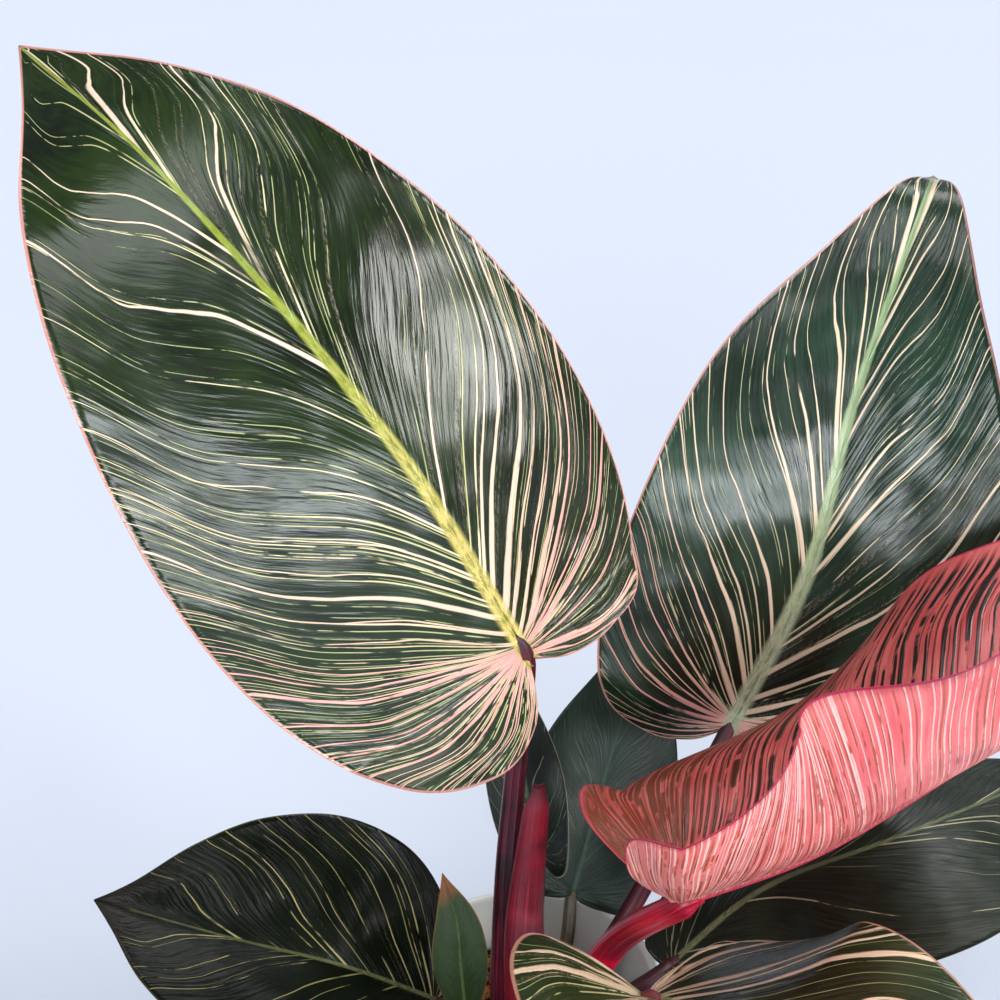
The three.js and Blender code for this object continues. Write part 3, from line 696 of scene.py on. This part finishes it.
class Blade:
    """The middle surface of one leaf blade, by the same formula as the CAD source."""

    def __init__(self, leaf):
        self.leaf = leaf
        self.midrib, self.length = spline(leaf["midrib"], CURVE_POINTS, True)
        self.tangents = unit(np.gradient(self.midrib, axis=0))
        self.base = facing(*leaf["face"][0])
        self.tip = facing(*leaf["face"][1])
        self.margins = []
        for side in (0, 1):
            width_scale = leaf["half_width"][side] / OUTLINE_WIDEST / self.length
            points = [(x * leaf["lobe"][side] if x < 0 else x, y * width_scale) for x, y in leaf["outline"]]
            self.margins.append(spline(points, CURVE_POINTS, False)[0])

    def section(self, along):
        """Origin, tangent, normal and right-hand side at places along the midrib."""
        share = np.clip(along, 0, 1)
        origin = lookup(self.midrib, share)
        tangent = unit(lookup(self.tangents, share))
        normal = mix(self.base, self.tip, share[..., None])
        normal = unit(normal - (normal * tangent).sum(-1, keepdims=True) * tangent)
        right = np.cross(tangent, normal)
        behind = np.minimum(along, 0)[..., None] * self.length
        dip = self.leaf["lobe_dip"]
        origin = origin + behind * (tangent * math.cos(dip) + normal * math.sin(dip))
        return origin, tangent, normal, right

    def frame(self, along):
        return [part[0] for part in self.section(np.array([along]))]

    def flat(self, around, across, side):
        """Places on the flat blade, as fractions of its length."""
        end = lookup(self.margins[side], around)
        upper = np.clip((around - BASAL_SHARE) / (1 - BASAL_SHARE), 0, 1)
        foot = np.where(around < BASAL_SHARE, BASAL_FOOT * around / BASAL_SHARE,
                        BASAL_FOOT + (1 - BASAL_FOOT) * upper ** FOOT_POWER)
        start = np.stack([foot, 0 * foot], -1)
        chord = end - start
        bow = (VEIN_BOW * smoothstep(around, *BOW_RANGE))[..., None]
        middle = (end + start) / 2 + bow * np.stack([-chord[..., 1], chord[..., 0]], -1)
        t = across[..., None]
        return (1 - t) ** 2 * start + 2 * t * (1 - t) * middle + t ** 2 * end

    def surface(self, around, across, side):
        """Points, and for each its place along the midrib and distance from it."""
        flat = self.flat(around, across, side)
        along, reach = flat[..., 0], flat[..., 1] * self.length
        origin, _, normal, right = self.section(along)
        share = np.clip(along, 0, 1)
        lift = mix(*self.leaf["fold"][side], share)
        curl = self.leaf["curl"][side]
        bend = (curl if abs(curl) > 1e-3 else 1e-3) / self.length
        outward = (np.sin(lift + bend * reach) - np.sin(lift)) / bend
        upward = (np.cos(lift) - np.cos(lift + bend * reach)) / bend
        rise = np.sqrt(np.clip(np.sin(np.pi * around), 0, 1))
        height, phase = self.leaf["wave"][side]
        swell = height * across ** 2 * rise
        upward = upward + swell * np.sin(2 * np.pi * (WAVES * around + phase))
        depth, folds, start = self.leaf.get("ruffle", NO_RUFFLE)[side]
        crimp = depth * across ** 2 * rise
        drift = RUFFLE_DRIFT * np.sin(RUFFLE_DRIFT_RATE * around)
        upward = upward + crimp * np.sin(2 * np.pi * (folds * around + start + drift))
        sign = -1 if side == 0 else 1
        points = origin + (sign * outward)[..., None] * right + upward[..., None] * normal
        return points, along, reach


def stripe_course(leaf, around, across, side, along):
    """A number that stays the same along each stripe and grows from sinus to tip."""
    leaving = np.clip(1 - across / RIB_BEND_REACH, 0, 1) ** 2 * smoothstep(around, *RIB_BEND_RANGE)
    sweep = leaf.get("vein_sweep", 0.0) * (1 - across)
    arriving = smoothstep(across, *MARGIN_BEND_RANGE)
    vein = around + RIB_BEND * leaving + sweep - MARGIN_BEND * arriving
    return mix(vein, along, mix(*leaf.get("square_veins", (0.0, 0.0)), side))


def stripe_pitch(points, vein):
    """The distance on the surface over which vein grows by one."""
    down, over = np.gradient(points, axis=0), np.gradient(points, axis=1)
    vein_down, vein_over = np.gradient(vein, axis=0), np.gradient(vein, axis=1)
    g11, g12, g22 = (down * down).sum(-1), (down * over).sum(-1), (over * over).sum(-1)
    slope = g22 * vein_down ** 2 - 2 * g12 * vein_down * vein_over + g11 * vein_over ** 2
    area = np.maximum(g11 * g22 - g12 ** 2, 1e-9)
    return np.clip(np.sqrt(area / np.maximum(slope, 1e-9)), *PITCH_LIMITS)


def build_blade(name, leaf):
    blade = Blade(leaf)
    small = blade.length < SMALL_BLADE
    rows = SMALL_ROWS if small else BLADE_ROWS
    half = SMALL_COLUMNS if small else BLADE_COLUMNS
    around_steps = np.linspace(0, LAST_ROW, rows)
    across_steps = np.linspace(0, 1, half + 1) ** COLUMN_CROWDING
    parts = []
    for side, across_row in ((0, across_steps[::-1]), (1, across_steps[1:])):
        around, across = np.meshgrid(around_steps, across_row, indexing="ij")
        points, along, reach = blade.surface(around, across, side)
        to_margin = blade.flat(around, np.ones_like(across), side) - blade.flat(around, across, side)
        edge = np.linalg.norm(to_margin, axis=-1) * blade.length
        parts.append((points, around, across, np.full_like(around, side), along, reach, edge))
    points, around, across, side, along, reach, edge = (np.concatenate(p, axis=1) for p in zip(*parts))
    vein = stripe_course(leaf, around, across, side, along)

    columns = points.shape[1]
    index, quads = grid_quads(rows, columns)
    flat_points = points.reshape(-1, 3)
    normals = grid_normals(flat_points, quads)
    _, _, towards, _ = blade.frame(0.5)
    if (normals[index[rows // 2, columns // 2]] * towards).sum() < 0:
        normals = -normals
        quads = quads[:, ::-1]

    taper = np.clip(1 - along, 0, 1)
    bell = np.exp(-(reach / mix(*KEEL_WIDTH, taper)) ** 2)
    keel = (mix(*KEEL_DEPTH, taper ** KEEL_TAPER) * bell * (across < KEEL_END)).reshape(-1)
    groove = (mix(*GROOVE_DEPTH, taper) * bell).reshape(-1)
    inward = smoothstep(edge, 0.0, RIM_REACH)
    thickness = mix(RIM_HALF_THICKNESS, BLADE_HALF_THICKNESS, inward).reshape(-1)
    top = flat_points + normals * (thickness - groove)[:, None]
    bottom = flat_points - normals * (thickness + keel)[:, None]
    tip = blade.surface(np.array([TIP_PLACE]), np.array([0.0]), 0)[0]
    everything = np.vstack([top, bottom, tip])

    count = len(flat_points)
    tip_index = 2 * count
    rim = list(index[::-1, 0]) + list(index[0, 1:]) + list(index[1:, -1])
    faces = shell_faces(quads, rim, count)
    last = index[-1]
    for a, b in zip(last, last[1:]):
        faces.append((int(a), int(b), tip_index))
        faces.append((int(b + count), int(a + count), tip_index))
    faces.append((int(last[0]), tip_index, int(last[0] + count)))
    faces.append((int(last[-1]), int(last[-1] + count), tip_index))

    def both(values, at_tip):
        """Numbers for the upper face, the lower face and the tip."""
        flat_values = values.reshape(-1)
        return np.concatenate([flat_values, flat_values, [at_tip]])

    attributes = {
        "vein": both(vein, 1), "across": both(across, 0), "side": both(side, 0),
        "along": both(along, 1), "rib": both(reach, 0), "edge": both(edge, 0),
        "pitch": both(stripe_pitch(points, vein), 1),
        "upper": np.concatenate([np.ones(count), np.zeros(count), [1]]),
    }
    material = blade_material(f"blade_{name}", LOOKS[name])
    piece = add_mesh(f"leaf_{name}", everything, faces, attributes, material)
    dress(piece, f"blade_{name}")
    return blade


# Stalks: flattened, tapering, with a shallow channel down the front

STALK_SIDES = 32
STALK_STEPS = 90
STALK_FLATNESS = 0.86
STALK_TAPER = 0.7
STALK_TOP_RANGE = (0.93, 1.0)
STALK_TOP = 0.42
STALK_UNDER_BLADE = 1.3
STALK_INTO_BLADE = 0.035
THICK_STALK = 3.5
CHANNEL_WIDTH = 0.42
DEEP_CHANNEL = 0.22
FAINT_CHANNEL = 0.1
FRONT = np.array([0.0, -1.0, 0.0])


def tube(route, radius_at, channel):
    """Points, faces and attributes of a stalk along a route."""
    line, _ = spline(route, STALK_STEPS, True)
    tangents = unit(np.gradient(line, axis=0))
    shares = np.linspace(0, 1, STALK_STEPS)
    angles = circle(STALK_SIDES)
    away = (angles + np.pi) % (2 * np.pi) - np.pi
    rings = []
    for centre, tangent, share in zip(line, tangents, shares):
        front = unit(FRONT - FRONT.dot(tangent) * tangent)
        aside = np.cross(tangent, front)
        radius = radius_at(share) * (1 - channel * np.exp(-(away / CHANNEL_WIDTH) ** 2))
        rings.append(centre + (radius * np.cos(angles) * STALK_FLATNESS)[:, None] * front
                     + (radius * np.sin(angles))[:, None] * aside)
    attributes = {
        "along": np.repeat(shares, STALK_SIDES),
        "turn": np.tile(np.abs(np.linspace(-1, 1, STALK_SIDES, endpoint=False)), STALK_STEPS),
    }
    return np.vstack(rings), tube_faces(STALK_STEPS, STALK_SIDES), attributes


def stalk_material(name, colours):
    shade, body, painted_highlight = colours
    n = Nodes(name)
    streak = n.noise_over(n.attribute("turn"), n.attribute("along"), (26.0, 2.5), 1.0, 3.0)
    blotch = n.noise(n.position(), 60.0, 3.0)
    # A darker shade of the stalk's colour in random blotches
    colour = n.blend(n.ramp(blotch, 0.35, 0.65), shade, body)
    # Painted highlight: paler streaks of the third colour along the stalk, where the streak noise is high
    colour = n.blend(n.ramp(streak, 0.5, 0.72, 0.0, 0.7), colour, painted_highlight)
    relief = n.add(streak, n.mul(n.noise(n.position(), 1200.0, 2.0), 0.15))
    return n.finish(Base_Color=colour, Roughness=0.34, Normal=n.bump(relief, 0.0002))


def build_stalk(name, leaf, blade):
    origin, _, normal, _ = blade.frame(0.0)
    inside, _, under, _ = blade.frame(STALK_INTO_BLADE)
    route = [np.array(point, float) for point in leaf["stalk"]]
    route.append(origin - normal * STALK_UNDER_BLADE)
    route.append(inside - under)
    start, end = leaf["stalk_radius"]

    def radius_at(share):
        radius = mix(start, end, share ** STALK_TAPER)
        return radius * mix(1.0, STALK_TOP, smoothstep(share, *STALK_TOP_RANGE))

    channel = DEEP_CHANNEL if start > THICK_STALK else FAINT_CHANNEL
    points, faces, attributes = tube(route, radius_at, channel)
    _, slot, colours = FINISHES[name]
    material = stalk_material(f"stalk_{name}", colours)
    piece = add_mesh(f"petiole_{name}", points, faces, attributes, material)
    dress(piece, f"stalk_{name}")


# Sheath: a thin channel round the front of the stalks, with a rolled edge and a narrow pointed top

SHEATH_ROUTE = [(3, -13, 76), (2, -15, 100), (3, -17, 130), (9, -21, 178)]
SHEATH_WIDTH = (15, 6)
SHEATH_DEPTH = (12, 4.8)
SHEATH_WRAP = (1.9, 1.42)
SHEATH_CLOSING = 0.55
SHEATH_CLOSING_RANGE = (0.9, 1.0)
SHEATH_HALF_THICKNESS = 0.35
SHEATH_STEPS = 80
SHEATH_TURNS = 32
# Sheath's darker shade, its body, and the paler colour of its painted highlight streaks
SHEATH_COLOURS = ("#4a0414", "#7c0a20", "#a42c46")


def build_sheath():
    line, _ = spline(SHEATH_ROUTE, SHEATH_STEPS, True)
    shares = np.linspace(0, 1, SHEATH_STEPS)
    rows = []
    for centre, share in zip(line, shares):
        angles = mix(-1, 1, np.linspace(0, 1, SHEATH_TURNS)) * mix(*SHEATH_WRAP, share)
        close = 1 - SHEATH_CLOSING * smoothstep(share, *SHEATH_CLOSING_RANGE)
        across = mix(*SHEATH_WIDTH, share) / 2 * np.sin(angles) * close
        depth = mix(*SHEATH_DEPTH, share) / 2 * np.cos(angles) * close
        rows.append(centre + np.stack([across, -depth, 0 * across], -1))
    index, quads = grid_quads(SHEATH_STEPS, SHEATH_TURNS)
    flat_points = np.array(rows).reshape(-1, 3)
    offset = grid_normals(flat_points, quads) * SHEATH_HALF_THICKNESS
    everything = np.vstack([flat_points + offset, flat_points - offset])
    rim = list(index[::-1, 0]) + list(index[0, 1:]) + list(index[1:, -1]) + list(index[-1, -2::-1])
    faces = shell_faces(quads, rim, len(flat_points))
    turns = np.abs(np.linspace(-1, 1, SHEATH_TURNS))
    attributes = {
        "along": np.tile(np.repeat(shares, SHEATH_TURNS), 2),
        "turn": np.tile(turns, 2 * SHEATH_STEPS),
    }
    material = stalk_material("sheath", SHEATH_COLOURS)
    piece = add_mesh("sheath_shell", everything, faces, attributes, material)
    dress(piece, "sheath")


# Crown: knobbly short stem ringed by old leaf scars

CROWN_SIDES = 48
CROWN_STEPS = 60
CROWN_DEPTH = 20
CROWN_NARROWING = 0.75
CROWN_SHOULDER = 0.62
SCAR_DEPTH = 0.05
SCAR_RATE = 1.9
KNOBS = 3
KNOB_DEPTH = 0.06
KNOB_TWIST = 0.3


def build_crown():
    heights = np.linspace(SOIL_LEVEL - CROWN_DEPTH, CROWN_TOP, CROWN_STEPS)
    angles = circle(CROWN_SIDES)
    rings = []
    for height in heights:
        share = (height - heights[0]) / (CROWN_TOP - heights[0])
        radius = CROWN_RADIUS * (1 - CROWN_NARROWING * smoothstep(share, CROWN_SHOULDER, 1.0))
        radius = radius * (1 + SCAR_DEPTH * math.sin(height * SCAR_RATE))
        knobbly = radius * (1 + KNOB_DEPTH * np.sin(KNOBS * angles + height * KNOB_TWIST))
        rings.append(level_ring(knobbly, angles, height))
    n = Nodes("crown")
    scars = n.noise(n.stretched((60, 60, 500)), 1.0, 3.0)
    colour = n.blend(n.ramp(scars, 0.4, 0.62), "#3a2c18", "#7a6a3c")
    material = n.finish(Base_Color=colour, Roughness=0.75, Normal=n.bump(scars, 0.0008))
    faces = tube_faces(CROWN_STEPS, CROWN_SIDES)
    piece = add_mesh("crown_stem", np.vstack(rings), faces, None, material)
    dress(piece, "crown")


# Pot: glazed, tapered, with a rounded foot and lip

POT_LIP = POT_WALL / 2
FOOT_INSET = 3.0
FOOT_CORNER = (1.6, 0.2)
FOOT_ROUND = 1.5
FOOT_RISE = 1.7


def lathe(profile, sides):
    """Points and faces of a solid turned from radii and heights."""
    angles = circle(sides)
    points = [level_ring(radius, angles, height) for radius, height in profile]
    return np.vstack(points), tube_faces(len(profile), sides)


def inner_radius(height):
    return mix(POT_BASE_RADIUS, POT_RIM_RADIUS, height / POT_HEIGHT) - POT_WALL


def build_pot():
    corner_inset, corner_height = FOOT_CORNER
    profile = [(POT_BASE_RADIUS - FOOT_INSET, 0.0), (POT_BASE_RADIUS - corner_inset, corner_height)]
    for angle in np.linspace(-np.pi / 2, 0, 6):
        radius = POT_BASE_RADIUS - FOOT_ROUND + FOOT_ROUND * math.cos(angle)
        profile.append((radius, FOOT_RISE + FOOT_ROUND * math.sin(angle)))
    top = POT_HEIGHT - POT_LIP * 2
    for height in np.linspace(4, top, 24):
        profile.append((mix(POT_BASE_RADIUS, POT_RIM_RADIUS - 0.4, (height - 2) / (top - 2)), height))
    for angle in np.linspace(0, np.pi, 13):
        radius = POT_RIM_RADIUS - POT_LIP + POT_LIP * math.cos(angle)
        profile.append((radius, POT_HEIGHT - POT_LIP + POT_LIP * math.sin(angle)))
    for height in np.linspace(top, POT_FLOOR + 2, 16):
        profile.append((inner_radius(height), height))
    profile.append((inner_radius(POT_FLOOR) - 2, POT_FLOOR))
    points, faces = lathe(profile, POT_SIDES)
    n = Nodes("pot_glaze")
    cloud = n.noise(n.position(), 22.0, 3.0)
    speck = n.noise(n.position(), 700.0, 2.0)
    colour = n.blend(n.ramp(cloud, 0.3, 0.7), "#ecebe8", "#f6f6f4")
    colour = n.blend(n.ramp(speck, 0.68, 0.76, 0.0, 0.25), colour, "#c9c3bb")
    roughness = n.ramp(cloud, 0.3, 0.7, 0.10, 0.18)
    normal = n.bump(n.add(cloud, n.mul(speck, 0.04)), 0.0006)
    material = n.finish(Base_Color=colour, Roughness=roughness, Normal=normal)
    piece = add_mesh("pot_body", points, faces, None, material)
    dress(piece, "pot")


# Soil: a dark uneven bed with bark chips lying on it at all angles

BED_SIDES = 96
BED_DROP = 2.5
BED_GAP = 0.4
LUMP_RADIUS = 38
LUMP_HEIGHT = 0.8
LUMP_JITTER = 0.4
CHIP_COUNT = 430
CHIP_SIDES = 7
CHIP_LENGTH = (4.5, 10.0)
CHIP_SLIMNESS = (0.4, 0.75)
CHIP_THICKNESS = (1.2, 2.8)
CHIP_RINGS = [(0.55, 0.5), (0.92, 0.32), (1.0, 0.0), (0.9, -0.34), (0.5, -0.5)]
CHIP_CROWN = 0.55
CHIP_JITTER = 0.12
CHIP_TILT = 0.34
CHIP_SCALES = [0.55, 0.8, 1.0]
CHIP_SCALE_SHARES = [0.35, 0.4, 0.25]
CHIP_EDGE_GAP = 4.5
CHIP_SINK = 1.2
GOLDEN_STEP = 3 - math.sqrt(5)


def bark_chip(random, centre, scale):
    """One flat chip with a broken outline and domed faces."""
    length = scale * random.uniform(*CHIP_LENGTH)
    width = length * random.uniform(*CHIP_SLIMNESS)
    thick = scale * random.uniform(*CHIP_THICKNESS)
    angles = np.sort(circle(CHIP_SIDES) + random.uniform(-0.3, 0.3, CHIP_SIDES))
    radius = random.uniform(0.75, 1.15, CHIP_SIDES)
    outline = np.stack([radius * np.cos(angles) * length / 2, radius * np.sin(angles) * width / 2], -1)
    points = []
    for spread, height in CHIP_RINGS:
        jitter = random.uniform(-CHIP_JITTER, CHIP_JITTER, CHIP_SIDES) * thick
        points.append(np.column_stack([outline * spread, np.full(CHIP_SIDES, height * thick) + jitter]))
    points = np.vstack(points + [[(0, 0, CHIP_CROWN * thick), (0, 0, -CHIP_CROWN * thick)]])
    tilt_x, tilt_y = random.normal(0, CHIP_TILT, 2)
    turn = random.uniform(0, 2 * math.pi)
    spin = Matrix.Rotation(turn, 3, "Z") @ Matrix.Rotation(tilt_x, 3, "X")
    spin = spin @ Matrix.Rotation(tilt_y, 3, "Y")
    points = points @ np.array(spin).T + centre
    faces = []
    last = (len(CHIP_RINGS) - 1) * CHIP_SIDES
    for ring in range(0, last, CHIP_SIDES):
        for i in range(CHIP_SIDES):
            a = ring + i
            b = ring + (i + 1) % CHIP_SIDES
            faces.append((b, a, a + CHIP_SIDES, b + CHIP_SIDES))
    top, bottom = len(points) - 2, len(points) - 1
    for i in range(CHIP_SIDES):
        j = (i + 1) % CHIP_SIDES
        faces.append((i, j, top))
        faces.append((last + j, last + i, bottom))
    return points, faces


def bark_material():
    n = Nodes("bark_mix")
    grain = n.noise(n.position(), 420.0, 4.0, 0.65)
    fibre = n.noise(n.stretched((1500, 260, 900)), 1.0, 3.0)
    colour = n.blend(n.attribute("tint"), "#1c100a", "#a8622f")
    colour = n.blend(n.ramp(grain, 0.42, 0.66, 0.0, 0.75), colour, "#4a2816")
    colour = n.blend(n.ramp(fibre, 0.58, 0.74, 0.0, 0.6), colour, "#c98e5c")
    relief = n.add(grain, n.mul(fibre, 0.5))
    return n.finish(Base_Color=colour, Roughness=0.86, Normal=n.bump(relief, 0.0012))


def build_soil():
    random = np.random.default_rng(11)
    bed_top = SOIL_LEVEL - BED_DROP
    profile = [(inner_radius(POT_FLOOR) - 2.6, POT_FLOOR + BED_GAP), (inner_radius(12) - BED_GAP, 12)]
    profile += [(inner_radius(height) - BED_GAP, height) for height in np.linspace(20, bed_top, 8)]
    profile += [(radius, bed_top) for radius in np.linspace(inner_radius(bed_top) - 1, 1, 24)]
    points, faces = lathe(profile, BED_SIDES)
    on_top = (points[:, 2] > bed_top - 0.01) & (np.hypot(points[:, 0], points[:, 1]) < LUMP_RADIUS)
    lumps = np.sin(points[:, 0] * 0.9 + 2) * np.sin(points[:, 1] * 0.8 + 1)
    jitter = random.uniform(-LUMP_JITTER, LUMP_JITTER, len(points))
    points[:, 2] += on_top * (LUMP_HEIGHT * lumps + jitter)
    tints = [np.zeros(len(points))]
    all_points, offset = [points], len(points)
    reach = inner_radius(SOIL_LEVEL) - CHIP_EDGE_GAP
    for i in range(CHIP_COUNT):
        radius = reach * math.sqrt((i + 0.5) / CHIP_COUNT)
        angle = i * math.pi * GOLDEN_STEP
        height = SOIL_LEVEL - CHIP_SINK + random.uniform(-1.6, 1.9)
        centre = np.array([radius * math.cos(angle), radius * math.sin(angle), height])
        scale = random.choice(CHIP_SCALES, p=CHIP_SCALE_SHARES)
        chip, chip_faces = bark_chip(random, centre, scale)
        all_points.append(chip)
        faces += [tuple(corner + offset for corner in face) for face in chip_faces]
        tints.append(np.full(len(chip), random.uniform(0.15, 1.0)))
        offset += len(chip)
    tint = {"tint": np.concatenate(tints)}
    piece = add_mesh("bark_mix", np.vstack(all_points), faces, tint, bark_material())
    piece.data.polygons.foreach_set("use_smooth", [False] * len(piece.data.polygons))
    dress(piece, "soil")


# Camera at the photograph's angle: 25 degrees down and rolled 3.5 degrees

CAMERA_ELEVATION = 25.0
CAMERA_ROLL = 3.5
CAMERA_DISTANCE = 370
CAMERA_TARGET = (3, 0, 255)
CAMERA_LENS = 50
CAMERA_SENSOR = 36


def build_camera():
    up_angle = math.radians(CAMERA_ELEVATION)
    roll = math.radians(CAMERA_ROLL)
    forward = Vector((0, math.cos(up_angle), -math.sin(up_angle)))
    level_up = Vector((0, math.sin(up_angle), math.cos(up_angle)))
    level_right = Vector((1, 0, 0))
    right = math.cos(roll) * level_right - math.sin(roll) * level_up
    up = math.sin(roll) * level_right + math.cos(roll) * level_up
    data = bpy.data.cameras.new("camera")
    data.lens = CAMERA_LENS
    data.sensor_width = CAMERA_SENSOR
    data.clip_end = 100
    camera = add_object("camera", data)
    rotation = Matrix((right, up, -forward)).transposed().to_4x4()
    place = (Vector(CAMERA_TARGET) - CAMERA_DISTANCE * forward) * MM
    camera.matrix_world = Matrix.Translation(place) @ rotation
    bpy.context.scene.camera = camera


# Floor and lights

FLOOR_RADIUS = 30.0
FLOOR_SIDES = 96
SKY_COLOUR = (0.84, 0.92, 1.0, 1.0)
SKY_STRENGTH = 0.24


def build_floor():
    mesh = bpy.data.meshes.new("floor")
    ring = level_ring(FLOOR_RADIUS, circle(FLOOR_SIDES), 0.0)
    mesh.from_pydata(ring.tolist(), [], [tuple(range(FLOOR_SIDES))])
    floor = add_object("floor", mesh)
    n = Nodes("floor")
    cloud = n.noise(n.position(), 0.7, 2.0)
    colour = n.blend(cloud, "#d0d7e6", "#d4dbea")
    mesh.materials.append(n.finish(Base_Color=colour, Roughness=0.9, Specular_IOR_Level=0.1))


def soft_light(name, comes_from, strength, angle, colour):
    """Light from far off, from a patch of the sky so many degrees wide."""
    data = bpy.data.lights.new(name, "SUN")
    data.energy = strength
    data.angle = math.radians(angle)
    data.color = colour
    lamp = add_object(name, data)
    lamp.rotation_euler = (-Vector(comes_from)).to_track_quat("-Z", "Y").to_euler()


def build_lights():
    scene = bpy.context.scene
    scene.view_settings.view_transform = "Standard"
    world = bpy.data.worlds.new("studio")
    world.use_nodes = True
    background = world.node_tree.nodes["Background"]
    background.inputs["Color"].default_value = SKY_COLOUR
    background.inputs["Strength"].default_value = SKY_STRENGTH
    scene.world = world
    soft_light("front", facing(16, 2), 1.4, 22, (0.90, 0.96, 1.0))
    soft_light("key", facing(68, 26), 2.3, 26, (1.0, 0.99, 0.97))
    soft_light("top", facing(-17, 60), 1.1, 36, (0.97, 0.98, 1.0))
    soft_light("near", facing(-6, 12), 1.4, 22, (0.92, 0.97, 1.0))
    soft_light("back", facing(160, 60), 1.1, 34, (1.0, 1.0, 1.0))


build_camera()
build_floor()
build_lights()
build_pot()
build_soil()
build_crown()
build_sheath()
for leaf_name, leaf_values in LEAVES.items():
    leaf_blade = build_blade(leaf_name, leaf_values)
    build_stalk(leaf_name, leaf_values, leaf_blade)
